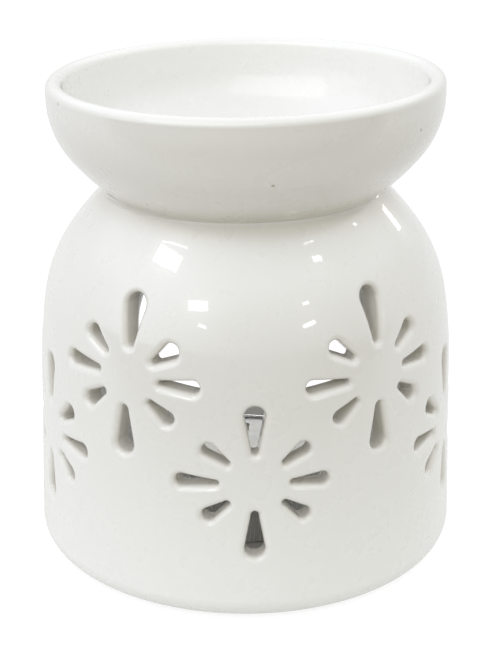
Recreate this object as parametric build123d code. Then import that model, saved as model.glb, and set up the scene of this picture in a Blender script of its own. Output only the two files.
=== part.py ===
from build123d import *
import math
import os

# Essential oil burner: a domed ceramic body with flowers cut through its wall and an open
# arch at the back, a shallow oil dish joined to its neck by a bead of slip, and the
# tealight that stands inside and warms the dish.
# Millimetres, +Z up, front towards -Y. The origin is the centre of the base.

# Body, outside. The rises and draws stack up from the ground to the neck.
base_radius = 50.68  # the side line carried down to the ground
base_corner = 5.1  # rounding between the side and the foot
side_rise = 46.74
side_taper = 1.52
shoulder_rise = 15.96
shoulder_draw = 1.62
crown_rise = 16.11
crown_draw = 7.02
throat_rise = 9.19
throat_draw = 8.02

# Body, inside
body_wall = 5.4
floor_thickness = 3.4
foot_relief = 0.6  # the floor's underside stands this far off the ground
foot_width = 7.0
floor_fillet = 4.0

# Arch at the back
arch_half_width = 28.4
arch_spring_height = 37.0
sill_height = 12.0
arch_corner = 6.0

# Flowers: two staggered rows of eight-petal flowers
flower_spacing = 35.0  # degrees from one flower to the next, round the body
pattern_turn = 2.4  # degrees, the whole pattern turned towards +X
flowers_each_side = 3
lower_row_height = 34.0
upper_row_height = 55.8
diagonal_lean = 35.5  # degrees above and below the level petals

# Petals: where each starts and ends from the flower's centre, its width, and its tip's width
upright_start = 6.8
upright_end = 18.0
upright_width = 4.5
upright_tip = 1.5
level_start = 8.2
level_end = 17.5
level_width = 2.9
level_tip = 1.1
diagonal_start = 7.8
diagonal_end = 14.8
diagonal_width = 3.0
diagonal_tip = 1.2

# Dish. Its heights are above its seat on the neck, and it leans a little, as fired.
dish_turn_height = 8.5  # where the foot of the dish turns into its side
dish_turn_reach = 8.6  # from the neck out to that turn
dish_side_height = 21.5  # where the side stands upright
dish_side_reach = 4.6  # from the turn out to the upright side
dish_band = 2.2  # the upright band between the side and the rim
dish_wall = 3.8
dish_floor = 3.8
dish_bend = 17.4  # between the dish's floor and its side, inside
dish_lip = 1.9  # rounding of the rim's outer edge
dish_lean_x = -1.1  # degrees about X: the front stands higher
dish_lean_y = -0.9  # degrees about Y: the +X side stands higher
dish_shift = 0.4

# Slip bead in the crease between body and dish
bead_reach = 2.2
bead_root = 1.5

# Tealight
cup_height = 16.7
cup_foot_radius = 18.4
cup_mouth_radius = 18.8
cup_wall = 0.3
cup_roll = 0.4  # radius of the rolled rim
wax_depth = 15.8
wax_clearance = 0.05
wick_radius = 0.6
wick_above_wax = 7.0
tab_radius = 6.5
tab_thickness = 0.25
tab_neck_radius = 1.25
tab_neck_height = 3.2
wick_clearance = 0.03
candle_forward = 3.2  # the tealight stands this far forward of the centre

overrun = 2.0  # how far a cutter runs past what it cuts

# Places worked out from the sizes above
shoulder_height = side_rise
shoulder_radius = base_radius - side_taper
crown_height = shoulder_height + shoulder_rise
crown_radius = shoulder_radius - shoulder_draw
throat_height = crown_height + crown_rise
throat_radius = crown_radius - crown_draw
neck_height = throat_height + throat_rise
neck_radius = throat_radius - throat_draw
dish_turn_radius = neck_radius + dish_turn_reach
dish_radius = dish_turn_radius + dish_side_reach
floor_top = foot_relief + floor_thickness
foot_inner_radius = base_radius - base_corner - foot_width
cup_floor_top = floor_top + cup_wall
wax_top = cup_floor_top + wax_depth
dish_place = Pos(dish_shift, 0, neck_height) * Rotation(dish_lean_x, dish_lean_y, 0)
candle_place = Pos(0, -candle_forward, 0)


def at(radius, height):
    """A point of a turned outline, in the plane through the axis."""
    return Vector(radius, 0, height)


def turned(*edges):
    """The solid that a closed outline sweeps round the axis."""
    return revolve(make_face(edges), Axis.Z)


def turned_corners(*corners):
    """The solid that a closed outline of straight sides sweeps round the axis."""
    sides = [Line(a, b) for a, b in zip(corners, corners[1:] + corners[:1])]
    return turned(*sides)


def arc_on(line, point):
    """An arc that carries a line on, in its own direction, to a further point."""
    return TangentArc(line @ 1, point, tangent=line % 1)


def inset_end(edge, end, inset):
    """A point at one end of an outline's edge, moved in from the outside by the inset."""
    along = edge % end
    return edge @ end + Vector(-along.Z, 0, along.X) * inset


def inside_of(edges, inset):
    """The same run of edges, moved in by the inset all along."""
    moved = [Line(inset_end(edges[0], 0, inset), inset_end(edges[0], 1, inset))]
    for edge in edges[1:]:
        moved.append(TangentArc(moved[-1] @ 1, inset_end(edge, 1, inset), tangent=edge % 0))
    return moved


def body_outside():
    """The outside of the body, from the ground to the neck."""
    side = Line(at(base_radius, 0), at(shoulder_radius, shoulder_height))
    shoulder = arc_on(side, at(crown_radius, crown_height))
    crown = arc_on(shoulder, at(throat_radius, throat_height))
    throat = arc_on(crown, at(neck_radius, neck_height))
    return [side, shoulder, crown, throat]


def body_blank():
    """The body before anything is cut, with a stub on top for the leaning seat."""
    outside = body_outside()
    stub_top = neck_height + overrun
    face = make_face(
        [Line(at(0, 0), at(base_radius, 0))]
        + outside
        + [
            Line(at(neck_radius, neck_height), at(neck_radius, stub_top)),
            Line(at(neck_radius, stub_top), at(0, stub_top)),
            Line(at(0, stub_top), at(0, 0)),
        ]
    )
    ground_corner = face.vertices().sort_by(Axis.X)[-1]
    return revolve(fillet(ground_corner, base_corner), Axis.Z)


def body_hollow():
    """The chamber: the floor's top, the inside of the wall, and the bore up to the dish."""
    inside = inside_of(body_outside(), body_wall)
    start, neck_end = inside[0] @ 0, inside[-1] @ 1
    top = neck_height + 2 * overrun
    face = make_face(
        [Line(at(0, start.Z), start)]
        + inside
        + [
            Line(neck_end, at(neck_end.X, top)),
            Line(at(neck_end.X, top), at(0, top)),
            Line(at(0, top), at(0, start.Z)),
        ]
    )
    below_floor = Pos(0, 0, floor_top - top) * Cylinder(
        base_radius, top, align=(Align.CENTER, Align.CENTER, Align.MIN)
    )
    hollow = revolve(face, Axis.Z) - below_floor
    floor_edge = hollow.edges().group_by(Axis.Z)[0]
    return fillet(floor_edge, floor_fillet)


def foot_hollow():
    """The shallow relief under the floor, inside the foot ring."""
    return Pos(0, 0, -overrun) * Cylinder(
        foot_inner_radius, foot_relief + overrun, align=(Align.CENTER, Align.CENTER, Align.MIN)
    )


def arch_cutter():
    """The arch at the back, cut straight through the wall."""
    door_height = arch_spring_height - sill_height
    door = Pos(0, sill_height + door_height / 2) * Rectangle(2 * arch_half_width, door_height)
    door = fillet(door.vertices().group_by(Axis.Y)[0], arch_corner)
    head = Pos(0, arch_spring_height) * Circle(arch_half_width)
    back = Plane(origin=(0, base_radius + overrun, 0), x_dir=(1, 0, 0), z_dir=(0, -1, 0))
    depth = base_radius + overrun - arch_half_width / 2
    return extrude(back * (door + head), depth)


def teardrop(start, end, width, tip):
    """A petal lying along X about its own middle: a wide round end and a narrow tip."""
    middle = (start + end) / 2
    wide, narrow = width / 2, tip / 2
    tip_centre, end_centre = start + narrow - middle, end - wide - middle
    rise = (wide - narrow) / (end_centre - tip_centre)
    run = math.sqrt(1 - rise**2)
    tip_top, tip_foot = [Vector(tip_centre - narrow * rise, s * narrow * run) for s in (1, -1)]
    end_top, end_foot = [Vector(end_centre - wide * rise, s * wide * run) for s in (1, -1)]
    return make_face(
        [
            Line(tip_top, end_top),
            ThreePointArc(end_top, Vector(end_centre + wide, 0), end_foot),
            Line(end_foot, tip_foot),
            ThreePointArc(tip_foot, Vector(tip_centre - narrow, 0), tip_top),
        ]
    )


def flower_petals():
    """Each petal of a flower: its direction in degrees above level, and its four sizes."""
    upright = (upright_start, upright_end, upright_width, upright_tip)
    level = (level_start, level_end, level_width, level_tip)
    diagonal = (diagonal_start, diagonal_end, diagonal_width, diagonal_tip)
    petals = [(90, upright), (270, upright), (0, level), (180, level)]
    for side in (0, 180):
        petals += [(side + diagonal_lean, diagonal), (side - diagonal_lean, diagonal)]
    return petals


def petal_cutter(flower_angle, flower_height, direction, sizes):
    """One petal, cut square through the wall where the petal lies on the round body."""
    reach = (sizes[0] + sizes[1]) / 2
    across = reach * math.cos(math.radians(direction))
    height = flower_height + reach * math.sin(math.radians(direction))
    angle = math.radians(flower_angle) + across / shoulder_radius
    outward = Vector(math.sin(angle), -math.cos(angle), 0)
    sideways = Vector(math.cos(angle), math.sin(angle), 0)
    start = outward * (base_radius + overrun) + Vector(0, 0, height)
    plane = Plane(origin=start, x_dir=sideways, z_dir=outward)
    return extrude(plane * Rot(0, 0, direction) * teardrop(*sizes), -base_radius / 2)


def flower_cutters():
    """Every petal of every flower, the rows staggered: low at the front, then high, low."""
    cutters = []
    for place in range(-flowers_each_side, flowers_each_side + 1):
        height = upper_row_height if place % 2 else lower_row_height
        angle = pattern_turn + place * flower_spacing
        for direction, sizes in flower_petals():
            cutters.append(petal_cutter(angle, height, direction, sizes))
    return cutters


def above_seat():
    """Everything over the leaning plane that the dish sits on."""
    size = 4 * base_radius
    return dish_place * Box(size, size, size, align=(Align.CENTER, Align.CENTER, Align.MIN))


def burner_body():
    body = body_blank() - [body_hollow(), foot_hollow(), above_seat()]
    return body - [arch_cutter()] - flower_cutters()


def dish_outside():
    """The outside of the dish, from the rim down to the seat."""
    side = TangentArc(
        at(dish_radius, dish_side_height), at(dish_turn_radius, dish_turn_height), tangent=(0, 0, -1)
    )
    foot = arc_on(side, at(neck_radius, 0))
    return side, foot


def oil_dish():
    side, foot = dish_outside()
    band_top = dish_side_height + dish_band
    rim_top = band_top + dish_lip
    inner_radius = dish_radius - dish_wall
    bend_radius = inner_radius - dish_bend
    bend_top = dish_floor + dish_bend
    rim_middle = dish_radius - dish_lip
    lip_foot = rim_top - (dish_wall - dish_lip)
    profile = make_face(
        [
            Line(at(0, 0), at(neck_radius, 0)),
            side,
            foot,
            Line(at(dish_radius, dish_side_height), at(dish_radius, band_top)),
            TangentArc(at(dish_radius, band_top), at(rim_middle, rim_top), tangent=(0, 0, 1)),
            TangentArc(at(inner_radius, lip_foot), at(rim_middle, rim_top), tangent=(0, 0, 1)),
            Line(at(inner_radius, bend_top), at(inner_radius, lip_foot)),
            TangentArc(at(bend_radius, dish_floor), at(inner_radius, bend_top), tangent=(1, 0, 0)),
            Line(at(0, dish_floor), at(bend_radius, dish_floor)),
            Line(at(0, 0), at(0, dish_floor)),
        ]
    )
    return dish_place * revolve(profile, Axis.Z)


def neck_bead(body, dish):
    """The bead: a hollow-faced ring that fills the crease, shaped by what it sits on."""
    foot = dish_outside()[1]
    throat = body_outside()[-1]
    up_the_dish = (foot % 1) * -1
    up_the_body = throat % 1
    crease = at(neck_radius, 0)
    on_body = crease - up_the_body * bead_reach
    on_dish = crease + up_the_dish * bead_reach
    into_body = Vector(-up_the_body.Z, 0, up_the_body.X) * bead_root
    inner = at(neck_radius - bead_root, 0)
    ring = turned(
        TangentArc(on_body, on_dish, tangent=up_the_body),
        Line(on_dish, inner),
        Line(inner, on_body + into_body),
        Line(on_body + into_body, on_body),
    )
    return dish_place * ring - [body, dish]


def tealight_cup():
    """A thin pressed cup with a rolled rim."""
    rim = floor_top + cup_height - cup_roll
    cup = turned_corners(
        at(0, floor_top),
        at(cup_foot_radius, floor_top),
        at(cup_mouth_radius, rim),
        at(cup_mouth_radius - cup_wall, rim),
        at(cup_foot_radius - cup_wall, cup_floor_top),
        at(0, cup_floor_top),
    )
    roll = Pos(0, 0, rim) * Torus(cup_mouth_radius, cup_roll)
    return candle_place * (cup + roll)


def wick_tab():
    """The metal tab under the wax, with a neck that grips the wick."""
    disc_top = cup_floor_top + tab_thickness
    bore = wick_radius + wick_clearance
    return candle_place * turned_corners(
        at(bore, cup_floor_top),
        at(tab_radius, cup_floor_top),
        at(tab_radius, disc_top),
        at(tab_neck_radius, disc_top),
        at(tab_neck_radius, cup_floor_top + tab_neck_height),
        at(bore, cup_floor_top + tab_neck_height),
    )


def tealight_wax():
    """The wax, cast round the tab and the wick."""
    slope = (cup_mouth_radius - cup_foot_radius) / (cup_height - cup_roll)
    bottom_radius = cup_foot_radius - cup_wall - wax_clearance
    bore = wick_radius + wick_clearance
    tab_top = cup_floor_top + tab_thickness + wax_clearance
    neck_top = cup_floor_top + tab_neck_height + wax_clearance
    return candle_place * turned_corners(
        at(tab_radius + wax_clearance, cup_floor_top),
        at(bottom_radius, cup_floor_top),
        at(bottom_radius + slope * wax_depth, wax_top),
        at(bore, wax_top),
        at(bore, neck_top),
        at(tab_neck_radius + wax_clearance, neck_top),
        at(tab_neck_radius + wax_clearance, tab_top),
        at(tab_radius + wax_clearance, tab_top),
    )


def tealight_wick():
    length = wax_depth + wick_above_wax
    return candle_place * Pos(0, 0, cup_floor_top) * Cylinder(
        wick_radius, length, align=(Align.CENTER, Align.CENTER, Align.MIN)
    )


def main():
    os.makedirs("parts", exist_ok=True)
    body = burner_body()
    dish = oil_dish()
    nodes = {
        "burner_body": body,
        "oil_dish": dish,
        "neck_bead": neck_bead(body, dish),
        "tealight_cup": tealight_cup(),
        "tealight_wax": tealight_wax(),
        "wick_tab": wick_tab(),
        "tealight_wick": tealight_wick(),
    }
    for name, solid in nodes.items():
        export_step(solid, f"parts/{name}.step")


main()
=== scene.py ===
import math

import bpy
import numpy as np
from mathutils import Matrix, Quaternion, Vector
from mathutils.geometry import delaunay_2d_cdt
from mathutils.kdtree import KDTree


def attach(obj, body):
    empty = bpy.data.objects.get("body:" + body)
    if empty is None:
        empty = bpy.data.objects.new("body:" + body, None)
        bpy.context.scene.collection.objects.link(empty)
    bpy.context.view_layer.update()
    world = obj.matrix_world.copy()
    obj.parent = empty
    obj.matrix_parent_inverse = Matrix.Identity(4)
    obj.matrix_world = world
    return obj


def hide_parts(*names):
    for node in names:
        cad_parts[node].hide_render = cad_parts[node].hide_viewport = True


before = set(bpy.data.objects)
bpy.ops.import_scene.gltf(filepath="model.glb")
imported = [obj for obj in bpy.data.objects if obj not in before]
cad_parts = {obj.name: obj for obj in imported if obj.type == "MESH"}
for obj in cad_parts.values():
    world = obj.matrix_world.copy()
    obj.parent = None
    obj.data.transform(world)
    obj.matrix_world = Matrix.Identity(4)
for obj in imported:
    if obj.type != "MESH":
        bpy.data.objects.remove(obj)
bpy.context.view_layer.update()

# Shapes are worked out in millimetres, in the frame's axes, and written to meshes in metres.
MM = 0.001

# Body: the same outline as the frame's solid, from the ground to the neck
BASE_RADIUS = 50.68
BASE_CORNER = 5.1
OUTLINE = ((49.16, 46.74), (47.54, 62.70), (40.52, 78.81), (32.5, 88.0))
BODY_WALL = 5.4
FLOOR_TOP = 4.0
FOOT_RELIEF = 0.6
FOOT_WIDTH = 7.0
FOOT_SOFT = 0.25  # radius of the foot ring's inner edge
FLOOR_FILLET = 4.0
NECK_RADIUS, NECK_HEIGHT = OUTLINE[-1]

# Openings: the arch at the back and the flowers
ARCH_HALF_WIDTH = 28.4
ARCH_SPRING_HEIGHT = 37.0
SILL_HEIGHT = 12.0
ARCH_CORNER = 6.0
FLOWER_SPACING = 35.0  # degrees
PATTERN_TURN = 2.4  # degrees
FLOWERS_EACH_SIDE = 3
LOWER_ROW, UPPER_ROW = 34.0, 55.8
DIAGONAL_LEAN = 35.5  # degrees over and under the level
UPRIGHT = (6.8, 18.0, 4.5, 1.5)  # a petal's start, end, width and tip width
LEVEL = (8.2, 17.5, 2.9, 1.1)
DIAGONAL = (7.8, 14.8, 3.0, 1.2)
# How the hand-finished petals of each flower depart: sideways, up, longer at the end, wider
HAND_CUT = {
    (-1, 270): (-0.6, 0.0, 0.0, 0.0),
    (-1, -DIAGONAL_LEAN): (-0.6, 0.0, 0.0, 0.0),
    (-1, 180): (0.0, 0.0, 1.3, 0.0),
    (-1, DIAGONAL_LEAN): (0.0, -0.3, 0.0, 0.6),
    (-1, 90): (0.2, 0.0, 0.0, 0.3),
    (0, 180): (0.0, 0.0, 0.3, 0.0),
    (0, 0): (-0.1, 0.0, -0.7, 0.0),
    (0, 180 - DIAGONAL_LEAN): (0.6, 0.0, 0.0, 0.0),
    (0, 180 + DIAGONAL_LEAN): (0.6, 0.0, 0.0, 0.0),
    (1, 90): (0.3, 0.0, 0.6, 0.0),
    (1, 180): (0.0, -0.3, 0.7, 0.0),
    (1, 180 + DIAGONAL_LEAN): (0.4, -0.3, 0.0, 0.0),
}
PETAL_EDGE_OUT = 1.6  # how far the glaze rounds a petal's edge, outside and inside
PETAL_EDGE_IN = 0.9
ARCH_EDGE_OUT = 1.4
ARCH_EDGE_IN = 1.0
EDGE_STEPS = 6

# Dish, in radii and heights above its seat: the outside turns up, then rises to an upright band
DISH_TURN = (41.1, 8.5)
DISH_SIDE = (45.7, 21.5)
DISH_BAND = 2.2
DISH_WALL = 3.8
DISH_FLOOR = 3.8
DISH_BEND = 17.4  # radius of the curve from the inside wall to the bottom
DISH_LIP = 1.9
DISH_LEAN = (-1.1, -0.9)  # degrees about X and Y
DISH_SHIFT = 0.4
BEAD_LOW, BEAD_HIGH = 1.0, 2.4  # how far the bead runs down the body and up the dish
BEAD_SUNK = 0.02  # how far its two borders lie under the glaze
BEAD_BACK = 1.2  # how far it reaches in between body and dish
BEAD_STEPS = 25
NECK_POOL_AND_SHADE, NECK_POOL_AND_SHADE_DEPTH = 5.0, 0.9  # how far round the crease the glaze lies thick and shade is painted, and how deep
# How much painted shade darkens the chamber's floor
CHAMBER_SHADE = 0.3

# Tealight, which stands on the chamber's floor
CANDLE_FORWARD = 3.2
CUP_HEIGHT = 16.7
CUP_FOOT, CUP_MOUTH = 18.4, 18.8  # radii
CUP_WALL = 0.3
CUP_ROLL = 0.4
CUP_CORNER = 0.7
CUP_STEP = (0.72, 0.68)  # where the foot's middle is pressed up, as shares of the foot's radius
CUP_STEP_RISE = 0.35  # and by how much, as a share of the wall
FLUTES = 44
FLUTE_DEPTH = 0.035
FLUTE_FADE = (2.5, 2.0)  # over what height the flutes die out, at the foot and at the rim
WAX_DEPTH = 15.8
WAX_SLACK = 0.06
WAX_STEPS = 144
# The wax's surface from the cup in to the wick: how far in, and how high against its edge
WAX_SURFACE = (
    (0.0, 0.0),
    (0.25, -0.05),
    (0.7, -0.1),
    (1.5, -0.13),
    (3.0, -0.12),
    (6.0, -0.08),
    (9.0, -0.07),
    (12.0, -0.1),
    (14.0, -0.18),
    (15.5, -0.3),
    (16.4, -0.36),
    (17.0, -0.34),
    (17.5, -0.2),
)
WICK_RADIUS = 0.6
WICK_LENGTH = 22.8
WICK_TURNS = 6.5
WICK_BEND = 0.5  # how far its tip leans to the right
STRANDS = 3
STRAND_RISE = 0.16  # how far the strands stand out, as a share of the radius
WICK_AROUND, WICK_RINGS = 24, 121
WICK_TIP = 60  # the tip's part of the length is one in this many

# Glaze
GLAZE_THICK = (0.876, 0.870, 0.842)
GLAZE_THIN = (0.868, 0.861, 0.832)
# Darker glaze where points lie deep in a crease or recess: partly pooled glaze, partly painted
# shade
GLAZE_POOLED_AND_SHADED = (0.75, 0.72, 0.65)
GLAZE_SPECK = (0.42, 0.36, 0.28)
PINHOLES = ((-40.6, -20.4, 111.5), (5.7, -42.1, 99.6), (37.7, -25.0, 107.0), (31.1, -23.6, 94.9))
PINHOLE_RADII = (0.25, 0.5)  # dark within the first, gone at the second
SPECKS_CHOSEN = 0.965  # only cells with a random value over this hold a speck
FOOT_BARE_HEIGHT = 0.25

# Camera, as solved from the photograph
CAMERA_PLACE = (0, -363.73, 196.83)
CAMERA_DOWN = 21.73  # degrees under the level
CAMERA_LENS = 89.62

# Light by direction. The rings start at the front and turn through the left, back and right.
LIGHT_LOW = [
    (0.55, 0.54, 0.48),
    (1.12, 1.15, 1.20),
    (1.05, 1.07, 1.11),
    (0.75, 0.76, 0.74),
    (1.00, 1.01, 0.99),
    (0.55, 0.53, 0.47),
]
LIGHT_MIDDLE = [
    (0.68, 0.68, 0.62),
    (1.26, 1.30, 1.37),
    (1.14, 1.17, 1.23),
    (0.88, 0.88, 0.86),
    (1.24, 1.27, 1.30),
    (0.68, 0.68, 0.64),
]
LIGHT_HIGH = [
    (0.94, 0.96, 0.97),
    (1.40, 1.44, 1.52),
    (1.06, 1.08, 1.14),
    (0.95, 0.95, 0.94),
    (1.50, 1.54, 1.60),
    (1.21, 1.23, 1.25),
]
LIGHT_TOP = (0.95, 0.97, 1.01)
LIGHT_STEPS = (0.0, 0.4, 0.75)  # how high the three rings lie, as the rise of a ray
BACKDROP_REFLECTED = (0.8, 0.8, 0.79)  # a little under white, so that the edges show
BACKDROP_TOP = (0.3, 0.5)  # where the white backdrop behind ends in reflections
BACKDROP_SIDE = (-0.3, 0.1)  # and where it begins, as the part of a ray that goes back
FLOOR_REACH = 3.0
FLOOR_SEEN = (0.84, 0.84, 0.84)  # what it gives off of its own, to a camera and in reflections
FLOOR_REFLECTED = (0.6, 0.6, 0.59)
FLOOR_WHITE = (-0.16, -0.06)  # reflections see it white from here to the back
# The floor's colour in the light it throws back: lighter near the middle and darker further out, a
# painted pool of light
FLOOR_NEAR = (0.84, 0.84, 0.81)
FLOOR_MIDDLE = (0.35, 0.31, 0.24)
FLOOR_FAR = (0.27, 0.24, 0.18)
FLOOR_STEPS = (0.08, 0.2, 0.45)  # metres from the middle
FLOOR_SHADOW = (0.25, 0.25, 0.25)
LAMP_DISTANCE = 1.2
LAMP_AIM = Vector((0, -0.04, 0.08))
LAMP_RADIANCE = 7.0
# Where each lamp is, in degrees from the back towards the right and up, how wide and tall it
# is, and how far it is rolled. These make the bright patches on the body's glaze.
LAMPS = [
    (-110.8, 47.7, 15.0, 5.0, 17.0),
    (-149.6, 31.3, 10.7, 6.9, 13.0),
    (-154.9, 17.8, 4.8, 2.1, -14.0),
    (115.2, 49.4, 5.2, 1.7, -29.0),
    (142.9, 16.9, 7.7, 2.9, 15.0),
    (141.3, 31.2, 3.7, 2.2, 4.0),
    (45.6, 15.4, 4.5, 4.7, -32.0),
    (72.3, 37.2, 2.6, 0.8, -39.0),
    (-102.9, 54.9, 15.4, 0.45, 36.0),
    (-133.2, 64.9, 13.4, 0.45, 26.0),
    (-108.9, 52.1, 15.2, 0.5, 27.0),
    (107.1, 56.7, 6.3, 0.5, -37.0),
    (114.1, 54.8, 6.0, 0.5, -25.0),
]
ARCH_LAMP = (0.0, 30.0, 40.0, 16.0, 0.0)  # shines through the arch on the candle
ARCH_LAMP_RADIANCE = 5.0
DISH_LAMP = (-152.0, 40.0, 60.0, 34.0, 8.0)  # a soft light on the dish, from the left front
DISH_LAMP_RADIANCE = 0.8

# Meshing
SEAM = math.radians(136.0)  # where the unrolled wall is cut, clear of every opening
TURN_STEPS = 240
DISH_STEPS = 288
OUTER_SPACING = 1.5
INNER_SPACING = 2.4
HALO_CLEAR, GRID_CLEAR = 0.4, 0.62  # how near other points free ones may lie, in spacings
LEAST_AREA = 1e-7
CDT_EPSILON = 1e-5
WELDS_PER_MM = 2000  # points that fall on the same step become one


def unit(v):
    return v / np.linalg.norm(v, axis=-1, keepdims=True)


def leaving_arc(start, tangent, end):
    """Centre, signed radius and half turn of the arc that leaves start along the tangent."""
    chord = end - start
    half_turn = math.atan2(tangent[0] * chord[1] - tangent[1] * chord[0], tangent @ chord)
    radius = np.linalg.norm(chord) / (2 * math.sin(half_turn))
    return start + radius * np.array([-tangent[1], tangent[0]]), radius, half_turn


class Wall:
    """The turned outline of the body: a cone, then arcs that each carry the last one on."""

    def __init__(self):
        start = np.array([BASE_RADIUS, 0.0])
        corner = np.array(OUTLINE[0])
        self.cone_tangent = unit(corner - start)
        self.arcs = []
        point, tangent = corner, self.cone_tangent
        for end in np.array(OUTLINE[1:]):
            centre, radius, half_turn = leaving_arc(point, tangent, end)
            self.arcs.append((centre, radius, unit(point - centre)))
            c, s = math.cos(2 * half_turn), math.sin(2 * half_turn)
            tangent = np.array([tangent[0] * c - tangent[1] * s, tangent[0] * s + tangent[1] * c])
            point = end
        self.heights = np.linspace(0.0, NECK_HEIGHT, 2000)
        self.lengths = {}
        for inset in (0.0, BODY_WALL):
            steps = np.hypot(np.diff(self.radius(self.heights, inset)), np.diff(self.heights))
            self.lengths[inset] = np.concatenate([[0.0], np.cumsum(steps)])

    def arc_start(self, arc, inset):
        """The height at which an arc begins, moved in by the inset."""
        centre, radius, first = arc
        return centre[1] + (radius - inset) * first[1]

    def radius(self, z, inset=0.0):
        """The wall's radius at a height, moved in from the outside by the inset."""
        z = np.asarray(z, float)
        along = self.cone_tangent
        out = BASE_RADIUS + z * along[0] / along[1] - inset / along[1]
        for arc in self.arcs:
            centre, radius, _ = arc
            reach = np.sqrt(np.maximum((radius - inset) ** 2 - (z - centre[1]) ** 2, 0))
            out = np.where(z > self.arc_start(arc, inset), centre[0] + reach, out)
        return out

    def normal(self, z, inset=0.0):
        """Radial and upward parts of the wall's outward normal."""
        z = np.asarray(z, float)
        along = self.cone_tangent
        radial = np.full(z.shape, along[1])
        upward = np.full(z.shape, -along[0])
        for arc in self.arcs:
            centre, radius, _ = arc
            above = z > self.arc_start(arc, inset)
            up = np.clip((z - centre[1]) / (radius - inset), -1, 1)
            upward = np.where(above, up, upward)
            radial = np.where(above, np.sqrt(1 - up**2), radial)
        return radial, upward

    def length(self, z, inset):
        """How far up the outline a height lies, measured along it."""
        return np.interp(z, self.heights, self.lengths[inset])

    def height(self, length, inset):
        return np.interp(length, self.lengths[inset], self.heights)


wall = Wall()


def around(radius, height, angle):
    """Points at a radius, height and angle, the angle turning from -Y towards +X."""
    return np.stack([radius * np.sin(angle), -radius * np.cos(angle), height + 0 * angle], -1)


class Builder:
    """Gathers points, their smooth normals and faces, and makes one welded mesh of them."""

    def __init__(self):
        self.points, self.normals, self.pools, self.faces, self.count = [], [], [], [], 0

    def add(self, points, normals, pool=0.0):
        """Adds points and returns their numbers. The pool value says how deep in a recess they lie,
        which the glaze shows darker as pooled glaze and painted shade.
        """
        first = self.count
        self.points.append(np.asarray(points, float))
        self.normals.append(np.asarray(normals, float))
        self.pools.append(np.broadcast_to(np.asarray(pool, float), len(points)))
        self.count += len(points)
        return np.arange(first, self.count)

    def strip(self, rings):
        """Quads between rings of the same count, each joined to the next."""
        for a, b in zip(rings, rings[1:]):
            for i, j in enumerate(np.roll(np.arange(len(a)), -1)):
                self.faces.append((a[i], a[j], b[j], b[i]))

    def make(self, name, material):
        """The mesh object. Each face is turned to agree with its points' normals."""
        points = np.concatenate(self.points)
        normals = unit(np.concatenate(self.normals))
        pools = np.concatenate(self.pools)
        keys = np.round(points * WELDS_PER_MM).astype(np.int64)
        _, first, number = np.unique(keys, axis=0, return_index=True, return_inverse=True)
        number = number.reshape(-1)
        faces = []
        for face in self.faces:
            corners = list(dict.fromkeys(int(number[i]) for i in face))
            if len(corners) > 2:
                a, b, c = points[first[corners[:3]]]
                if np.cross(b - a, c - a) @ normals[list(face)].sum(axis=0) < 0:
                    corners.reverse()
                faces.append(corners)
        mesh = bpy.data.meshes.new(name)
        mesh.from_pydata(points[first] * MM, [], faces)
        mesh.polygons.foreach_set("use_smooth", np.ones(len(mesh.polygons), bool))
        # Each point's pool value, which the materials turn into pooled glaze and painted shade
        attribute = mesh.attributes.new("pool", "FLOAT", "POINT")
        attribute.data.foreach_set("value", pools[first].astype(np.float32))
        mesh.update()
        mesh.normals_split_custom_set_from_vertices(normals[first])
        mesh.validate()
        obj = bpy.data.objects.new(name, mesh)
        bpy.context.scene.collection.objects.link(obj)
        mesh.materials.append(material)
        return obj


def arc_points(centre, radius, start, end, count):
    """Points and outward normals along an arc, its angles in radians."""
    angles = np.linspace(start, end, count)
    normals = np.stack([np.cos(angles), np.sin(angles)], -1)
    return np.asarray(centre) + radius * normals, normals


def straight(a, b, normal, count):
    """Points strictly between two others, all with one normal."""
    shares = np.arange(1, count + 1)[:, None] / (count + 1)
    return np.asarray(a) * (1 - shares) + np.asarray(b) * shares, np.tile(normal, (count, 1))


def teardrop(start, end, width, tip):
    """A petal's outline, points and normals, lying along X about its middle, anticlockwise."""
    middle = (start + end) / 2
    wide, narrow = width / 2, tip / 2
    tip_centre, end_centre = (start + narrow - middle, 0), (end - wide - middle, 0)
    lean = math.asin((wide - narrow) / (end_centre[0] - tip_centre[0]))
    top = math.pi / 2 + lean
    end_arc = arc_points(end_centre, wide, top, -top, 21)
    tip_arc = arc_points(tip_centre, narrow, -top, top - 2 * math.pi, 11)
    foot_line = straight(end_arc[0][-1], tip_arc[0][0], end_arc[1][-1], 8)
    top_line = straight(tip_arc[0][-1], end_arc[0][0], end_arc[1][0], 8)
    parts = (end_arc, foot_line, tip_arc, top_line)
    return tuple(np.concatenate(found)[::-1] for found in zip(*parts))


def arch_outline():
    """The arch's outline, points and normals, its middle at the ground, anticlockwise."""
    side, spring, sill, corner = ARCH_HALF_WIDTH, ARCH_SPRING_HEIGHT, SILL_HEIGHT, ARCH_CORNER
    centre_x, centre_y, half = side - corner, sill + corner, math.pi / 2
    head = arc_points((0, spring), side, 0, 2 * half, 61)
    left = arc_points((-centre_x, centre_y), corner, 2 * half, 3 * half, 11)
    right = arc_points((centre_x, centre_y), corner, -half, 0, 11)
    left_side = straight(head[0][-1], left[0][0], (-1, 0), 15)
    sill_line = straight(left[0][-1], right[0][0], (0, -1), 30)
    right_side = straight(right[0][-1], head[0][0], (1, 0), 15)
    parts = (head, left_side, left, sill_line, right, right_side)
    return tuple(np.concatenate(found) for found in zip(*parts))


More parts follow.
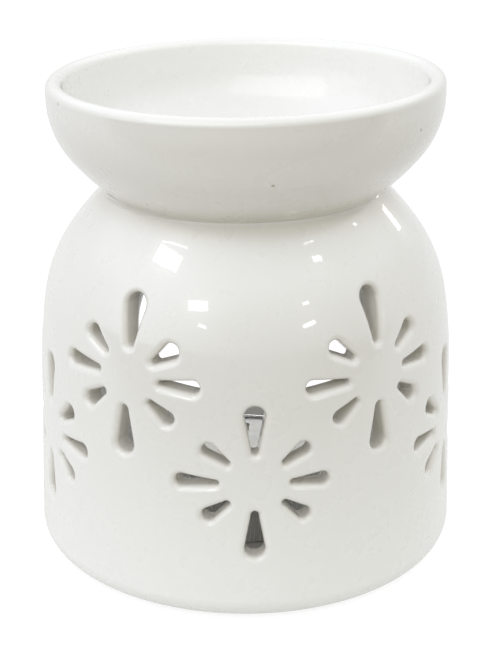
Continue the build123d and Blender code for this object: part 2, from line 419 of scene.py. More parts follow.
class Opening:
    """A hole through the wall, cut straight along the direction that its angle faces."""

    def __init__(self, angle, height, outline, edge_out, edge_in):
        self.angle = angle
        self.points, self.normals = outline
        self.points = self.points + np.array([0, height])
        self.edge_out, self.edge_in = edge_out, edge_in

    def place(self, flat, inset, depth):
        """Points on the wall at flat places of the cut's own plane, sunk by the depth."""
        away = np.sqrt(wall.radius(flat[:, 1], inset) ** 2 - flat[:, 0] ** 2) - depth
        s, c = math.sin(self.angle), math.cos(self.angle)
        return np.stack([flat[:, 0] * c + away * s, flat[:, 0] * s - away * c, flat[:, 1]], -1)

    def side_normals(self):
        """Normals of the hole's own wall, facing into the hole."""
        s, c = math.sin(self.angle), math.cos(self.angle)
        n = self.normals
        return -np.stack([n[:, 0] * c, n[:, 0] * s, n[:, 1]], -1)

    def skin_normals(self, points, inset):
        radial, upward = wall.normal(points[:, 2], inset)
        out = unit(points[:, :2])
        return np.stack([out[:, 0] * radial, out[:, 1] * radial, upward], -1)

    def rings(self, builder, inset, edge, sign):
        """Rings that round the edge from the skin into the hole. The first lies on the skin."""
        made = []
        for k in range(EDGE_STEPS + 1):
            turn = math.pi / 2 * k / EDGE_STEPS
            flat = self.points + self.normals * edge * (1 - math.sin(turn))
            at = self.place(flat, inset, sign * edge * (1 - math.cos(turn)))
            skin = sign * self.skin_normals(at, inset)
            normal = skin * math.cos(turn) + self.side_normals() * math.sin(turn)
            # The pool value rises from the skin into the hole, so the hole's wall is darkened:
            # painted shade, with some pooled glaze at the edge
            made.append(builder.add(at, normal, pool=k / EDGE_STEPS))
        return made

    def unrolled(self, offset, inset):
        """The outline, moved out by the offset, on the unrolled wall."""
        flat = self.points + self.normals * offset
        radius = wall.radius(flat[:, 1], inset)
        angle = self.angle + np.arcsin(flat[:, 0] / radius)
        return np.stack([wrap(angle) * unroll_radius(inset), wall.length(flat[:, 1], inset)], -1)


def wrap(angle):
    """An angle carried into the turn that ends at the seam."""
    return (np.asarray(angle) - SEAM) % (2 * math.pi) + SEAM - 2 * math.pi


def unroll_radius(inset):
    return OUTLINE[0][0] - inset


def inside(points, polygon):
    """Which points lie in a polygon."""
    found = np.zeros(len(points), bool)
    x, y = points[:, 0], points[:, 1]
    for (ax, ay), (bx, by) in zip(polygon, np.roll(polygon, -1, axis=0)):
        if ay != by:
            crosses = (ay > y) != (by > y)
            found ^= crosses & (x < (bx - ax) * (y - ay) / (by - ay) + ax)
    return found


def flower_openings():
    """The petals of the seven flowers, in turn round the body."""
    openings = []
    kinds = [(90, UPRIGHT), (270, UPRIGHT), (0, LEVEL), (180, LEVEL)]
    for side in (0, 180):
        kinds += [(side + DIAGONAL_LEAN, DIAGONAL), (side - DIAGONAL_LEAN, DIAGONAL)]
    for place in range(-FLOWERS_EACH_SIDE, FLOWERS_EACH_SIDE + 1):
        row = UPPER_ROW if place % 2 else LOWER_ROW
        middle = math.radians(PATTERN_TURN + place * FLOWER_SPACING)
        for direction, (start, end, width, tip) in kinds:
            turn = math.radians(direction)
            sideways, up, longer, wider = HAND_CUT.get((place, direction), (0.0, 0.0, 0.0, 0.0))
            end, width = end + longer, width + wider
            reach = (start + end) / 2
            angle = middle + (reach * math.cos(turn) + sideways) / OUTLINE[0][0]
            points, normals = teardrop(start, end, width, tip)
            rotate = np.array([[math.cos(turn), math.sin(turn)], [-math.sin(turn), math.cos(turn)]])
            outline = points @ rotate, normals @ rotate
            height = row + reach * math.sin(turn) + up
            openings.append(Opening(angle, height, outline, PETAL_EDGE_OUT, PETAL_EDGE_IN))
    return openings


def skin(builder, openings, inset, low, high, spacing, edges):
    """The wall's outside or inside face between two heights, open at each opening's first ring.

    It is meshed on the unrolled wall: the border and the openings' loops are fixed points, and
    a halo round each loop and a staggered grid fill the rest."""
    sign = -1 if inset else 1
    scale = unroll_radius(inset)
    turns = np.linspace(SEAM - 2 * math.pi, SEAM, TURN_STEPS + 1) * scale
    bottom, top = wall.length(low, inset), wall.length(high, inset)
    rows = np.linspace(bottom, top, int(round((top - bottom) / spacing)) + 1)
    sides = [
        np.stack([turns, np.full_like(turns, bottom)], -1),
        np.stack([np.full(len(rows) - 2, turns[-1]), rows[1:-1]], -1),
        np.stack([turns[::-1], np.full_like(turns, top)], -1),
        np.stack([np.full(len(rows) - 2, turns[0]), rows[-2:0:-1]], -1),
    ]
    border = np.concatenate(sides)
    loops = [opening.unrolled(edge, inset) for opening, edge in zip(openings, edges)]
    halos = [opening.unrolled(edge + spacing / 2, inset) for opening, edge in zip(openings, edges)]
    columns = np.arange(turns[0], turns[-1], spacing) + spacing / 2
    grid = []
    for number, row in enumerate(rows[1:-1]):
        shift = spacing / 4 if number % 2 else 0.0
        grid.append(np.stack([columns + shift, np.full_like(columns, row)], -1))
    fixed = np.concatenate([border] + loops)
    halo = far_from(np.concatenate(halos), fixed, spacing * HALO_CLEAR)
    grid = far_from(np.concatenate(grid), np.concatenate([fixed, halo]), spacing * GRID_CLEAR)
    free = np.concatenate([halo, grid])
    for loop in loops:
        free = free[~inside(free, loop)]
    lines, start = [], 0
    for loop in [border] + loops:
        lines += [(start + i, start + (i + 1) % len(loop)) for i in range(len(loop))]
        start += len(loop)
    given = [Vector(p) for p in np.concatenate([fixed, free])]
    points, _, faces, *_ = delaunay_2d_cdt(given, lines, [], 0, CDT_EPSILON)
    points, faces = np.array(points), np.array(faces)
    middles = points[faces].mean(axis=1)
    hidden = np.zeros(len(faces), bool)
    for loop in loops:
        hidden |= inside(middles, loop)
    faces = faces[~hidden]
    angle = points[:, 0] / scale
    height = wall.height(points[:, 1], inset)
    radius = wall.radius(height, inset)
    radial, upward = wall.normal(height, inset)
    at, normal = around(radius, height, angle), around(radial, upward, angle)
    # Near the neck the outside is darkened: pooled glaze and painted shade
    pool = 0.0 if inset else near_neck(np.stack([radius, height], -1))
    numbers = builder.add(at, sign * normal, pool)
    a, b, c = points[faces[:, 0]], points[faces[:, 1]], points[faces[:, 2]]
    area = (b[:, 0] - a[:, 0]) * (c[:, 1] - a[:, 1]) - (b[:, 1] - a[:, 1]) * (c[:, 0] - a[:, 0])
    faces = np.where((area * sign > 0)[:, None], faces, faces[:, ::-1])
    builder.faces.extend(map(tuple, numbers[faces[np.abs(area) > LEAST_AREA]]))


def far_from(points, others, distance):
    """The points that lie further than the distance from all the others."""
    tree = KDTree(len(others))
    for i, p in enumerate(others):
        tree.insert((p[0], p[1], 0.0), i)
    tree.balance()
    return np.array([p for p in points if tree.find((p[0], p[1], 0.0))[2] > distance])


def seat_height(angle, radius):
    """How high the dish's leaning seat lies at an angle and radius."""
    at = around(radius, 0.0, angle)
    lean_x, lean_y = map(math.radians, DISH_LEAN)
    return NECK_HEIGHT + at[:, 1] * math.tan(lean_x) - (at[:, 0] - DISH_SHIFT) * math.tan(lean_y)


def body_angles():
    return SEAM - 2 * math.pi + np.linspace(0, 2 * math.pi, TURN_STEPS + 1)[:-1]


def turned_strip(builder, outline, pool=0.0):
    """Rings of a turned surface, joined in order. A height may be a number or one per angle."""
    angles = body_angles()
    rings = []
    for (radius, height), (radial, upward) in outline:
        direction = around(radial, upward, angles)
        rings.append(builder.add(around(radius, height, angles), direction, pool))
    builder.strip(rings)


def rounded(centre, radius, start, end, count):
    """Pairs of a point and its normal along an arc of an outline, its angles in degrees."""
    return list(zip(*arc_points(centre, radius, *np.radians((start, end)), count)))


def make_body(material):
    """The whole casting: outside, inside, every opening's edges and wall, floor and foot."""
    builder = Builder()
    openings = flower_openings()
    openings.append(Opening(math.pi, 0.0, arch_outline(), ARCH_EDGE_OUT, ARCH_EDGE_IN))
    for opening in openings:
        outer = opening.rings(builder, 0.0, opening.edge_out, 1)
        inner = opening.rings(builder, BODY_WALL, opening.edge_in, -1)
        builder.strip(outer + inner[::-1])
    lean = math.atan2(*(wall.cone_tangent * (-1, 1)))
    corner_top = BASE_CORNER * (1 + math.sin(lean))
    corner_centre = wall.radius(corner_top) - BASE_CORNER * math.cos(lean)
    skin_top = NECK_HEIGHT - BEAD_LOW / 2
    inner_top = NECK_HEIGHT - BODY_WALL * wall.normal(NECK_HEIGHT)[1]
    inner_low = FLOOR_TOP + FLOOR_FILLET
    edges_out, edges_in = zip(*((o.edge_out, o.edge_in) for o in openings))
    skin(builder, openings, 0.0, corner_top, skin_top, OUTER_SPACING, edges_out)
    skin(builder, openings, BODY_WALL, inner_low, inner_top, INNER_SPACING, edges_in)
    foot_in = BASE_RADIUS - BASE_CORNER - FOOT_WIDTH
    under = rounded((corner_centre, BASE_CORNER), BASE_CORNER, math.degrees(lean), -90, 13)
    under += rounded((foot_in + FOOT_SOFT, FOOT_SOFT), FOOT_SOFT, -90, -180, 4)
    under += [((foot_in, FOOT_RELIEF), (-1, -0.2)), ((foot_in - FOOT_SOFT, FOOT_RELIEF), (0, -1))]
    under += [((foot_in * share, FOOT_RELIEF), (0, -1)) for share in (0.7, 0.35, 0.0)]
    turned_strip(builder, under[::-1])
    angles = body_angles()
    bore = wall.radius(inner_top, BODY_WALL)
    seat_out, seat_in = seat_height(angles, NECK_RADIUS), seat_height(angles, bore)
    neck = [
        ((wall.radius(skin_top), skin_top), (1, 1)),
        ((NECK_RADIUS, seat_out), (1, 1)),
        ((NECK_RADIUS, seat_out), (0, 1)),
        ((bore, seat_in), (0, 1)),
        ((bore, seat_in), (-1, 0)),
        ((bore, inner_top), (-1, 0)),
    ]
    turned_strip(builder, neck)
    side = wall.radius(inner_low, BODY_WALL)
    fillet = rounded((side - FLOOR_FILLET, inner_low), FLOOR_FILLET, 0, -90, 9)
    floor = [(p, -n) for p, n in fillet]
    floor += [((side * share, FLOOR_TOP), (0, 1)) for share in (0.75, 0.5, 0.25, 0.0)]
    # The chamber's floor gets painted shade, a little darker
    turned_strip(builder, floor, CHAMBER_SHADE)
    return builder.make("glazed_body", material)


def on_dish(points):
    """Points of the dish's own frame, moved to where it sits and leans."""
    lean_x, lean_y = map(math.radians, DISH_LEAN)
    cos_x, sin_x = math.cos(lean_x), math.sin(lean_x)
    cos_y, sin_y = math.cos(lean_y), math.sin(lean_y)
    about_x = np.array([[1, 0, 0], [0, cos_x, -sin_x], [0, sin_x, cos_x]])
    about_y = np.array([[cos_y, 0, sin_y], [0, 1, 0], [-sin_y, 0, cos_y]])
    return points @ (about_x @ about_y).T + np.array([DISH_SHIFT, 0, NECK_HEIGHT])


def tangent_arc(start, tangent, end, count):
    """Points and left-hand normals of the arc that leaves start along the tangent."""
    start = np.array(start)
    centre, radius, half_turn = leaving_arc(start, unit(np.array(tangent, float)), np.array(end))
    first = math.atan2(*(start - centre)[::-1])
    angles = first + np.linspace(0, 2 * half_turn, count)
    radial = np.stack([np.cos(angles), np.sin(angles)], -1)
    return centre + abs(radius) * radial, -radial * np.sign(radius)


def dish_foot(count):
    """The dish's outside from its turn in to the seat: points and left-hand normals."""
    _, side_left = tangent_arc(DISH_SIDE, (0, -1), DISH_TURN, 2)
    end_tangent = (side_left[-1][1], -side_left[-1][0])
    return tangent_arc(DISH_TURN, end_tangent, (NECK_RADIUS, 0), count)


def dish_outline():
    """The dish's section, from the middle of its underside, out, up, over and back in."""
    side, side_left = tangent_arc(DISH_SIDE, (0, -1), DISH_TURN, 21)
    foot, foot_left = dish_foot(13)
    rim_top = DISH_SIDE[1] + DISH_BAND + DISH_LIP
    inner = DISH_SIDE[0] - DISH_WALL
    inner_lip = DISH_WALL - DISH_LIP
    outline = [((NECK_RADIUS * share, 0), (0, -1)) for share in (0.0, 0.5, 0.9, 1.0)]
    outline += zip(foot[::-1], foot_left[::-1])
    outline += zip(side[-2::-1], side_left[-2::-1])
    outline += [((DISH_SIDE[0], DISH_SIDE[1] + DISH_BAND / 2), (1, 0))]
    outline += rounded((DISH_SIDE[0] - DISH_LIP, rim_top - DISH_LIP), DISH_LIP, 0, 90, 13)
    outline += rounded((inner + inner_lip, rim_top - inner_lip), inner_lip, 90, 180, 13)[1:]
    bend = rounded((inner - DISH_BEND, DISH_FLOOR + DISH_BEND), DISH_BEND, 0, -90, 33)
    outline += [(p, -n) for p, n in bend]
    flat = inner - DISH_BEND
    outline += [((flat * share, DISH_FLOOR), (0, 1)) for share in (0.75, 0.5, 0.25, 0.0)]
    return outline


def lathe(outline, steps, place, pool=None):
    """A builder holding the solid that a section sweeps round the axis, moved by place."""
    builder = Builder()
    angles = np.linspace(0, 2 * math.pi, steps, endpoint=False)
    rings = []
    origin = place(np.zeros((1, 3)))
    for point, normal in outline:
        direction = place(around(*normal, angles)) - origin
        depth = pool(point) if pool else 0.0
        rings.append(builder.add(place(around(*point, angles)), direction, depth))
    builder.strip(rings)
    return builder


def make_dish(material):
    # The dish darkens towards the crease at the neck: pooled glaze and painted shade
    def pool(point):
        return near_neck(np.array(point) + (0, NECK_HEIGHT))

    return lathe(dish_outline(), DISH_STEPS, on_dish, pool).make("glazed_dish", material)


def make_bead(material):
    """The bead: a hollow curve from the body to the dish, running out along both."""
    builder = Builder()
    angles = np.linspace(0, 2 * math.pi, DISH_STEPS, endpoint=False)
    seat = seat_height(angles, NECK_RADIUS)
    low = seat - BEAD_LOW * wall.normal(NECK_HEIGHT)[0]
    low_normal = np.stack(wall.normal(low), -1)
    lower = np.stack([wall.radius(low), low], -1)
    foot = dish_foot(201)[0][::-1]
    lengths = np.concatenate([[0.0], np.cumsum(np.linalg.norm(np.diff(foot, axis=0), axis=1))])
    ends = []
    for reach in (BEAD_HIGH, BEAD_HIGH + 0.2):
        r, z = np.interp(reach, lengths, foot[:, 0]), np.interp(reach, lengths, foot[:, 1])
        at = on_dish(around(r, z, angles))
        ends.append(np.stack([np.hypot(at[:, 0], at[:, 1]), at[:, 2]], -1))
    upper, along = ends[0], unit(ends[1] - ends[0])
    high_normal = np.stack([along[:, 1], -along[:, 0]], -1)
    up_wall = np.stack([-low_normal[:, 1], low_normal[:, 0]], -1)
    gap = upper - lower
    turn = up_wall[:, 0] * along[:, 1] - up_wall[:, 1] * along[:, 0]
    reach = (gap[:, 0] * along[:, 1] - gap[:, 1] * along[:, 0]) / turn
    crease = lower + up_wall * reach[:, None]
    lower, upper = lower - BEAD_SUNK * low_normal, upper - BEAD_SUNK * high_normal
    rings = []
    for share in np.linspace(0, 1, BEAD_STEPS):
        at = (1 - share) ** 2 * lower + 2 * share * (1 - share) * crease + share**2 * upper
        slope = unit(2 * (1 - share) * (crease - lower) + 2 * share * (upper - crease))
        normal = around(slope[:, 1], -slope[:, 0], angles)
        # The bead lies in the crease and is darkened there: pooled glaze and painted shade
        rings.append(builder.add(around(at[:, 0], at[:, 1], angles), normal, near_neck(at)))
    builder.strip(rings)
    inner = around(NECK_RADIUS - BEAD_BACK, seat, angles)
    back, first, last = (
        builder.add(points, -unit(points * (1, 1, 0)))
        for points in (inner, builder.points[0], builder.points[-1])
    )
    builder.strip([last, back, first])
    return builder.make("slip_bead", material)


def near_neck(at):
    """How deep points of a section, as radii and heights, lie in the crease at the neck, which
    darkens them as pooled glaze and painted shade.
    """
    away = np.hypot(at[..., 0] - NECK_RADIUS, at[..., 1] - NECK_HEIGHT)
    return NECK_POOL_AND_SHADE_DEPTH * np.exp(-((away / NECK_POOL_AND_SHADE) ** 2))


def candle_place(points):
    return points + np.array([0, -CANDLE_FORWARD, 0])


def make_cup(material):
    """The pressed cup: a stepped foot, a faintly fluted side and a rolled rim."""
    rim = FLOOR_TOP + CUP_HEIGHT - CUP_ROLL
    low = FLOOR_TOP + CUP_CORNER
    inner_floor = FLOOR_TOP + CUP_WALL
    step_out, step_in = (CUP_FOOT * share for share in CUP_STEP)
    step_height = FLOOR_TOP + CUP_STEP_RISE * CUP_WALL
    outline = [((step_in * share, step_height), (0, -1)) for share in (0.0, 0.5, 1.0)]
    outline += [((step_out, FLOOR_TOP), (0, -1))]
    outline += rounded((CUP_FOOT - CUP_CORNER, low), CUP_CORNER, -90, 0, 9)
    lean = (CUP_MOUTH - CUP_FOOT) / (rim - FLOOR_TOP)
    roll_low = rim - CUP_ROLL
    for share in np.linspace(0.05, 1, 24):
        height = low + (roll_low - low) * share
        outline.append(((CUP_FOOT + lean * (height - FLOOR_TOP), height), (1, -lean)))
    outline += rounded((CUP_MOUTH, rim), CUP_ROLL, -90, 200, 25)
    outline += [((CUP_MOUTH - CUP_WALL, roll_low), (-1, 0))]
    outline += [((CUP_FOOT - CUP_WALL, inner_floor), (-1, 0))]
    outline += [((CUP_FOOT * share, inner_floor), (0, 1)) for share in (0.9, 0.4, 0.0)]
    builder = lathe(outline, 4 * FLUTES, lambda points: points)
    for points in builder.points:
        x, y, height = points.T
        radius = np.hypot(x, y)
        at_foot = np.clip((height - low) / FLUTE_FADE[0], 0, 1)
        at_rim = np.clip((roll_low - height) / FLUTE_FADE[1], 0, 1)
        outside = radius > CUP_FOOT - CUP_WALL / 2
        wave = np.cos(FLUTES * np.arctan2(x, -y)) - 1
        swell = FLUTE_DEPTH * (at_foot * at_rim) * outside * wave
        points[:, :2] *= (1 + swell / np.maximum(radius, 1))[:, None]
    builder.points = [candle_place(points) for points in builder.points]
    return builder.make("foil_cup", material)


def make_wax(material):
    """The wax: flush with the rim, drawn up at the cup and sunk a little round the wick."""
    foot = FLOOR_TOP + CUP_WALL
    top = foot + WAX_DEPTH
    slope = (CUP_MOUTH - CUP_FOOT) / (CUP_HEIGHT - CUP_ROLL)
    foot_radius = CUP_FOOT - CUP_WALL - WAX_SLACK
    side = foot_radius + slope * WAX_DEPTH
    outline = [((WICK_RADIUS, foot), (0, -1)), ((foot_radius, foot), (0, -1))]
    outline += [((foot_radius, foot), (1, 0)), ((side, top), (1, 0))]
    radii = [side - away for away, _ in WAX_SURFACE] + [WICK_RADIUS + 0.05]
    heights = [top + level for _, level in WAX_SURFACE] + [top + 0.1]
    slopes = np.gradient(heights, radii)
    outline += [((r, h), (-g, 1)) for r, h, g in zip(radii, heights, slopes)]
    outline += [((WICK_RADIUS, top - 2.0), (-1, 0))]
    return lathe(outline, WAX_STEPS, candle_place).make("wax_disc", material)


def make_wick(material):
    """The wick: three twisted strands, straight in the wax and leaning a little above it."""
    builder = Builder()
    foot = FLOOR_TOP + CUP_WALL
    turns = np.linspace(0, 2 * math.pi, WICK_AROUND, endpoint=False)
    rings = []
    for share in np.linspace(0, 1, WICK_RINGS):
        height = foot + WICK_LENGTH * share
        out_of_wax = max(0.0, height - foot - WAX_DEPTH) / (WICK_LENGTH - WAX_DEPTH)
        lobes = np.cos(STRANDS * (turns + 2 * math.pi * WICK_TURNS * share))
        close = 1 - 0.25 * max(0.0, share * WICK_TIP - WICK_TIP + 1)  # drawn in at the tip
        radius = close * WICK_RADIUS * (1 - STRAND_RISE + STRAND_RISE * lobes)
        at = around(radius, height, turns)
        at[:, 0] += WICK_BEND * out_of_wax**2
        normal = around(1.0, 0.0, turns)
        # The pool value is highest between the strands, where the wick's material paints shade
        rings.append(builder.add(candle_place(at), normal, pool=0.5 - 0.5 * lobes))
    builder.strip(rings)
    for ring, points, up in ((rings[0], builder.points[0], -1), (rings[-1], builder.points[-1], 1)):
        middle = builder.add([points.mean(axis=0) + (0, 0, 0.08 * (up + 1))], [(0, 0, up)])
        builder.strip([ring, np.repeat(middle, len(ring))])
    return builder.make("wick_cord", material)


class Shade:
    """Adds nodes to a material's or world's tree and wires them up."""

    def __init__(self, owner):
        owner.use_nodes = True
        self.nodes, self.links = owner.node_tree.nodes, owner.node_tree.links

    def put(self, kind, **settings):
        """A new node. A setting names an attribute, or an input as _Name or _number."""
        made = self.nodes.new("ShaderNode" + kind)
        sockets = {k: v for k, v in settings.items() if k.startswith("_")}
        for name, value in settings.items():
            if name not in sockets:
                setattr(made, name, value)
        for name, value in sockets.items():
            key = int(name[1:]) if name[1:].isdigit() else name[1:].replace("_", " ")
            self.feed(made.inputs[key], value)
        return made

    def feed(self, socket, value):
        if isinstance(value, bpy.types.NodeSocket):
            self.links.new(value, socket)
        else:
            socket.default_value = value

    def math(self, operation, *values):
        made = self.put("Math", operation=operation)
        for socket, value in zip(made.inputs, values):
            self.feed(socket, value)
        return made.outputs[0]

    def noise(self, place, scale, detail=2.0, roughness=0.5):
        settings = {"_Vector": place, "_Scale": scale, "_Detail": detail, "_Roughness": roughness}
        return self.put("TexNoise", **settings).outputs[0]

    def between(self, value, low, high, to_low=0.0, to_high=1.0, smooth=False):
        """The value, carried from one range to another and held at its ends."""
        kind = "SMOOTHSTEP" if smooth else "LINEAR"
        made = self.put("MapRange", interpolation_type=kind, clamp=True)
        for number, given in enumerate((value, low, high, to_low, to_high)):
            self.feed(made.inputs[number], given)
        return made.outputs[0]

    def mix(self, factor, a, b):
        """One colour mixed into another. A colour is a socket or three numbers."""
        made = self.put("Mix", data_type="RGBA", _0=factor)
        for socket, given in ((made.inputs[6], a), (made.inputs[7], b)):
            self.feed(socket, given if isinstance(given, bpy.types.NodeSocket) else (*given, 1))
        return made.outputs[2]

    def bump(self, height, distance, below=None):
        made = self.put("Bump", _Height=height, _Distance=distance)
        if below is not None:
            self.feed(made.inputs["Normal"], below)
        return made.outputs[0]


def new_material(name):
    """A material, its Shade, its shader and the object's own coordinates."""
    material = bpy.data.materials.new(name)
    shade = Shade(material)
    place = shade.put("TexCoord").outputs["Object"]
    return material, shade, shade.nodes["Principled BSDF"], place


def glaze_material():
    """White gloss glaze: cloudy by a hair, warmer and darker where it pools and where shade is
    painted into creases and recesses, with orange peel and specks.
    """
    material, shade, shader, place = new_material("white_glaze")
    pool = shade.put("Attribute", attribute_name="pool").outputs["Fac"]
    cloud = shade.noise(place, 16.0, 0.0)
    colour = shade.mix(shade.between(cloud, 0.2, 0.8), GLAZE_THICK, GLAZE_THIN)
    # Pooled glaze and painted shade: darker in the neck's crease, the openings' walls and the
    # chamber
    pooled_and_shaded = shade.between(pool, 0.1, 1.0, 0.0, 0.7, smooth=True)
    colour = shade.mix(pooled_and_shaded, colour, GLAZE_POOLED_AND_SHADED)
    grains = shade.put("TexVoronoi", _Vector=place, _Scale=130.0)
    cell = shade.put("SeparateColor", _0=grains.outputs["Color"]).outputs[0]
    chosen = shade.math("GREATER_THAN", cell, SPECKS_CHOSEN)
    speck = shade.between(grains.outputs["Distance"], 0.02, 0.045, 1.0, 0.0)
    speck = shade.math("MULTIPLY", shade.math("MULTIPLY", speck, chosen), 0.6)
    colour = shade.mix(speck, colour, GLAZE_SPECK)
    for pinhole in PINHOLES:
        away = shade.put("VectorMath", operation="DISTANCE", _0=place, _1=[c * MM for c in pinhole])
        radii = (radius * MM for radius in PINHOLE_RADII)
        hole = shade.between(away.outputs["Value"], *radii, 0.85, 0.0)
        colour = shade.mix(hole, colour, GLAZE_SPECK)
    shade.feed(shader.inputs["Base Color"], colour)
    breath = shade.noise(place, 160.0, 3.0)
    shade.feed(shader.inputs["Roughness"], shade.between(breath, 0.3, 0.7, 0.25, 0.33))
    wave = shade.bump(shade.noise(place, 58.0, 1.0), 0.00006)
    peel = shade.bump(shade.noise(place, 750.0, 2.0), 0.0000035, wave)
    shade.feed(shader.inputs["Normal"], peel)
    shade.feed(shader.inputs["Coat Normal"], peel)
    shader.inputs["IOR"].default_value = 1.5
    shader.inputs["Coat Weight"].default_value = 1.0
    shader.inputs["Coat Roughness"].default_value = 0.035
    shader.inputs["Coat IOR"].default_value = 1.6
    return material


def bisque_material():
    """Bare fired clay, as on the ring that stands in the kiln: matt, warm and finely gritty."""
    material, shade, shader, place = new_material("bare_clay")
    grit = shade.noise(place, 2400.0, 3.0, 0.6)
    stain = shade.noise(place, 120.0, 3.0)
    colour = shade.mix(shade.between(stain, 0.3, 0.7), (0.74, 0.68, 0.58), (0.80, 0.76, 0.68))
    colour = shade.mix(shade.between(grit, 0.35, 0.5, 0.35, 0.0), colour, (0.5, 0.43, 0.34))
    shade.feed(shader.inputs["Base Color"], colour)
    shade.feed(shader.inputs["Roughness"], shade.between(grit, 0.3, 0.7, 0.8, 0.95))
    shade.feed(shader.inputs["Normal"], shade.bump(grit, 0.00006))
    return material


def foil_material():
    """Thin pressed aluminium: bright, with drawing lines up the side and faint dents."""
    material, shade, shader, place = new_material("pressed_foil")
    split = shade.put("SeparateXYZ", _0=place)
    back = shade.math("ADD", split.outputs[1], CANDLE_FORWARD * MM)
    turn = shade.math("ARCTAN2", split.outputs[0], back)
    across = shade.math("MULTIPLY", turn, 60.0)
    up = shade.math("MULTIPLY", split.outputs[2], 40.0)
    drawn = shade.noise(shade.put("CombineXYZ", _0=across, _1=up).outputs[0], 1.0, 4.0, 0.6)
    dents = shade.noise(place, 220.0, 2.0)
    colour = shade.mix(drawn, (0.70, 0.70, 0.71), (0.84, 0.84, 0.84))
    shade.feed(shader.inputs["Base Color"], colour)
    shade.feed(shader.inputs["Roughness"], shade.between(drawn, 0.3, 0.7, 0.2, 0.36))
    shader.inputs["Metallic"].default_value = 1.0
    shade.feed(shader.inputs["Normal"], shade.bump(drawn, 0.00001, shade.bump(dents, 0.00012)))
    return material


def wax_material():
    """White paraffin: waxy light inside, a satin skin and the mottle of wax that has set."""
    material, shade, shader, place = new_material("candle_wax")
    mottle = shade.noise(place, 380.0, 4.0, 0.6)
    colour = shade.mix(shade.between(mottle, 0.35, 0.65), (0.90, 0.895, 0.87), (0.94, 0.935, 0.915))
    shade.feed(shader.inputs["Base Color"], colour)
    shade.feed(shader.inputs["Roughness"], shade.between(mottle, 0.3, 0.7, 0.38, 0.55))
    shader.inputs["Subsurface Weight"].default_value = 0.5
    shader.inputs["Subsurface Radius"].default_value = (1.0, 0.9, 0.75)
    shader.inputs["Subsurface Scale"].default_value = 0.003
    frost = shade.bump(mottle, 0.00004)
    shade.feed(shader.inputs["Normal"], shade.bump(shade.noise(place, 90.0, 2.0), 0.0002, frost))
    return material


def wick_material():
    """Waxed cotton: fibres along the strands, with painted shade darker between them."""
    material, shade, shader, place = new_material("waxed_cotton")
    groove_shade = shade.put("Attribute", attribute_name="pool").outputs["Fac"]
    long_ways = shade.put("Mapping", _Vector=place, _Scale=(1.0, 1.0, 0.2)).outputs[0]
    fibre = shade.noise(long_ways, 6000.0, 3.0, 0.7)
    colour = shade.mix(shade.between(fibre, 0.3, 0.7), (0.80, 0.77, 0.68), (0.93, 0.91, 0.85))
    # Painted shade between the strands
    colour = shade.mix(shade.math("MULTIPLY", groove_shade, 0.5), colour, (0.55, 0.50, 0.40))
    shade.feed(shader.inputs["Base Color"], colour)
    shade.feed(shader.inputs["Roughness"], shade.between(fibre, 0.3, 0.7, 0.6, 0.85))
    shade.feed(shader.inputs["Normal"], shade.bump(fibre, 0.00004))
    return material


def tab_material():
    """Stamped tin plate: dull, with the rolling's lines along it."""
    material, shade, shader, place = new_material("tin_plate")
    long_ways = shade.put("Mapping", _Vector=place, _Scale=(0.1, 1.0, 1.0)).outputs[0]
    brushed = shade.noise(long_ways, 5000.0, 2.0)
    colour = shade.mix(brushed, (0.50, 0.50, 0.50), (0.68, 0.68, 0.67))
    shade.feed(shader.inputs["Base Color"], colour)
    shade.feed(shader.inputs["Roughness"], shade.between(brushed, 0.3, 0.7, 0.28, 0.45))
    shader.inputs["Metallic"].default_value = 1.0
    shade.feed(shader.inputs["Normal"], shade.bump(brushed, 0.00002))
    return material


def bare_foot(piece, material):
    """Leaves the ring that the body stands on unglazed."""
    piece.data.materials.append(material)
    for face in piece.data.polygons:
        if face.center[2] < FOOT_BARE_HEIGHT * MM:
            face.material_index = 1
    return piece


glaze = glaze_material()
for piece, ridden, node, slot in (
    (bare_foot(make_body(glaze), bisque_material()), "burner", "burner_body", "glaze"),
    (make_dish(glaze), "burner", "oil_dish", "glaze"),
    (make_bead(glaze), "burner", "neck_bead", "glaze"),
    (make_cup(foil_material()), "tealight", "tealight_cup", "cup_metal"),
    (make_wax(wax_material()), "tealight", "tealight_wax", "wax"),
    (make_wick(wick_material()), "tealight", "tealight_wick", "wick_cotton"),
):
    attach(piece, ridden)
    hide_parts(node)
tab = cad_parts["wick_tab"]
tab.data.materials.clear()
tab.data.materials.append(tab_material())


def look_camera():
    """The camera, placed as the photograph was taken."""
    camera = bpy.data.objects.new("camera", bpy.data.cameras.new("camera"))
    bpy.context.scene.collection.objects.link(camera)
    camera.location = [c * MM for c in CAMERA_PLACE]
    camera.rotation_euler = (math.radians(90 - CAMERA_DOWN), 0, 0)
    camera.data.lens = CAMERA_LENS
    camera.data.clip_start = 0.01
    bpy.context.scene.camera = camera


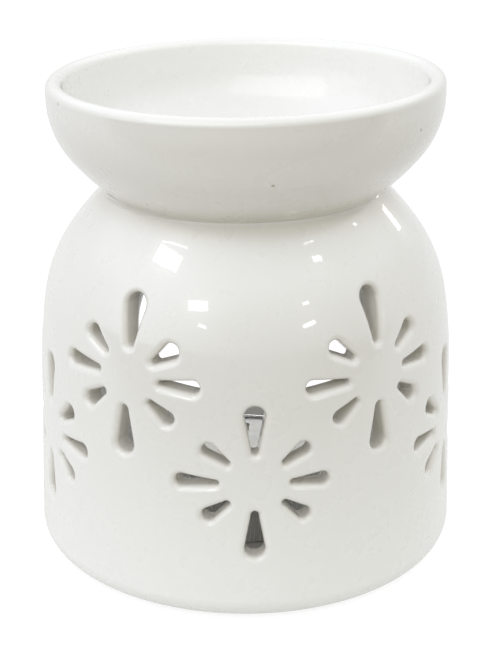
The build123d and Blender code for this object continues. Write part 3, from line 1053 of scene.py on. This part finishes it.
def studio_world():
    """Soft light from all round, by direction: weaker and warmer from the front and its right."""
    world = bpy.data.worlds.new("studio")
    bpy.context.scene.world = world
    shade = Shade(world)
    ray = shade.put("SeparateXYZ", _0=shade.put("TexCoord").outputs["Generated"]).outputs
    turn = shade.math("ARCTAN2", ray[0], ray[1])
    turn = shade.math("ADD", shade.math("DIVIDE", turn, 2 * math.pi), 0.5)
    rings = []
    for colours in (LIGHT_LOW, LIGHT_MIDDLE, LIGHT_HIGH):
        ramp = shade.put("ValToRGB", _Fac=turn)
        stops = ramp.color_ramp.elements
        while len(stops) < len(colours) + 1:
            stops.new(0.5)
        for number, stop in enumerate(stops):
            stop.position = number / len(colours)
            stop.color = (*colours[number % len(colours)], 1)
        rings.append(ramp.outputs[0])
    low, middle, high = LIGHT_STEPS
    light = shade.mix(shade.between(ray[2], low, middle), rings[0], rings[1])
    light = shade.mix(shade.between(ray[2], middle, high), light, rings[2])
    light = shade.mix(shade.between(ray[2], high, 1.0), light, LIGHT_TOP)
    path = shade.put("LightPath").outputs
    low_down = shade.between(ray[2], *BACKDROP_TOP, 1.0, 0.0)
    behind = shade.math("MULTIPLY", low_down, shade.between(ray[1], *BACKDROP_SIDE))
    reflected = shade.math("MULTIPLY", path["Is Glossy Ray"], behind)
    light = shade.mix(reflected, light, BACKDROP_REFLECTED)
    seen = shade.math("MAXIMUM", path["Is Camera Ray"], path["Is Transmission Ray"])
    shade.feed(shade.nodes["Background"].inputs["Color"], shade.mix(seen, light, (1, 1, 1)))


def floor():
    """A pale floor that shows white, keeps the object's shadow and throws back a warm light."""
    mesh = bpy.data.meshes.new("floor")
    corners = [(-FLOOR_REACH, -FLOOR_REACH, 0), (FLOOR_REACH, -FLOOR_REACH, 0)]
    corners += [(FLOOR_REACH, FLOOR_REACH, 0), (-FLOOR_REACH, FLOOR_REACH, 0)]
    mesh.from_pydata(corners, [], [(0, 1, 2, 3)])
    made = bpy.data.objects.new("floor", mesh)
    bpy.context.scene.collection.objects.link(made)
    material, shade, shader, place = new_material("pale_floor")
    path = shade.put("LightPath").outputs
    behind = shade.between(shade.put("SeparateXYZ", _0=place).outputs[1], *FLOOR_WHITE)
    glossy = shade.math("MULTIPLY", path["Is Glossy Ray"], behind)
    seen = shade.math("MAXIMUM", path["Is Camera Ray"], path["Is Transmission Ray"])
    away = shade.put("VectorMath", operation="LENGTH", _0=place).outputs["Value"]
    # Lighter near the middle, darker further out: a painted pool of light in what the floor throws
    # back
    near, middle, far = FLOOR_STEPS
    bounce = shade.mix(shade.between(away, near, middle), FLOOR_NEAR, FLOOR_MIDDLE)
    bounce = shade.mix(shade.between(away, middle, far), bounce, FLOOR_FAR)
    bounce = shade.mix(shade.math("MAXIMUM", seen, glossy), bounce, FLOOR_SHADOW)
    glow = shade.mix(glossy, (0, 0, 0), FLOOR_REFLECTED)
    shade.feed(shader.inputs["Base Color"], bounce)
    shade.feed(shader.inputs["Emission Color"], shade.mix(seen, glow, FLOOR_SEEN))
    shader.inputs["Emission Strength"].default_value = 1.0
    shader.inputs["Roughness"].default_value = 1.0
    shader.inputs["Specular IOR Level"].default_value = 0.0
    mesh.materials.append(material)


def lamp(name, across, up, wide, tall, roll, radiance, lit):
    """A rectangular lamp that lights one group of pieces. Its size is given in degrees."""
    across, up = math.radians(across), math.radians(up)
    level = math.cos(up)
    towards = Vector((math.sin(across) * level, math.cos(across) * level, math.sin(up)))
    data = bpy.data.lights.new(name, "AREA")
    data.shape = "RECTANGLE"
    data.size = 2 * LAMP_DISTANCE * math.tan(math.radians(wide / 2))
    data.size_y = 2 * LAMP_DISTANCE * math.tan(math.radians(tall / 2))
    data.energy = radiance * math.pi * data.size * data.size_y
    made = bpy.data.objects.new(name, data)
    bpy.context.scene.collection.objects.link(made)
    made.location = LAMP_AIM + towards * LAMP_DISTANCE
    rolled = Quaternion((0, 0, 1), math.radians(roll))
    made.rotation_euler = (towards.to_track_quat("Z", "Y") @ rolled).to_euler()
    made.visible_camera = False
    made.light_linking.receiver_collection = lit


def lit_group(name, pieces):
    """A group of pieces for a lamp to light."""
    group = bpy.data.collections.new(name)
    for piece in pieces:
        group.objects.link(bpy.data.objects[piece])
    return group


def lamps():
    """A lamp for each bright patch on the body's glaze, one for the candle, one for the dish."""
    walls = lit_group("lit_walls", ("glazed_body",))
    for number, placed in enumerate(LAMPS):
        lamp(f"lamp_{number}", *placed, LAMP_RADIANCE, walls)
    candle = lit_group("lit_candle", ("foil_cup", "wax_disc", "wick_cord"))
    lamp("arch_lamp", *ARCH_LAMP, ARCH_LAMP_RADIANCE, candle)
    dish = lit_group("lit_dish", ("glazed_dish",))
    lamp("dish_lamp", *DISH_LAMP, DISH_LAMP_RADIANCE, dish)


look_camera()
studio_world()
floor()
lamps()
bpy.context.scene.view_settings.view_transform = "Standard"
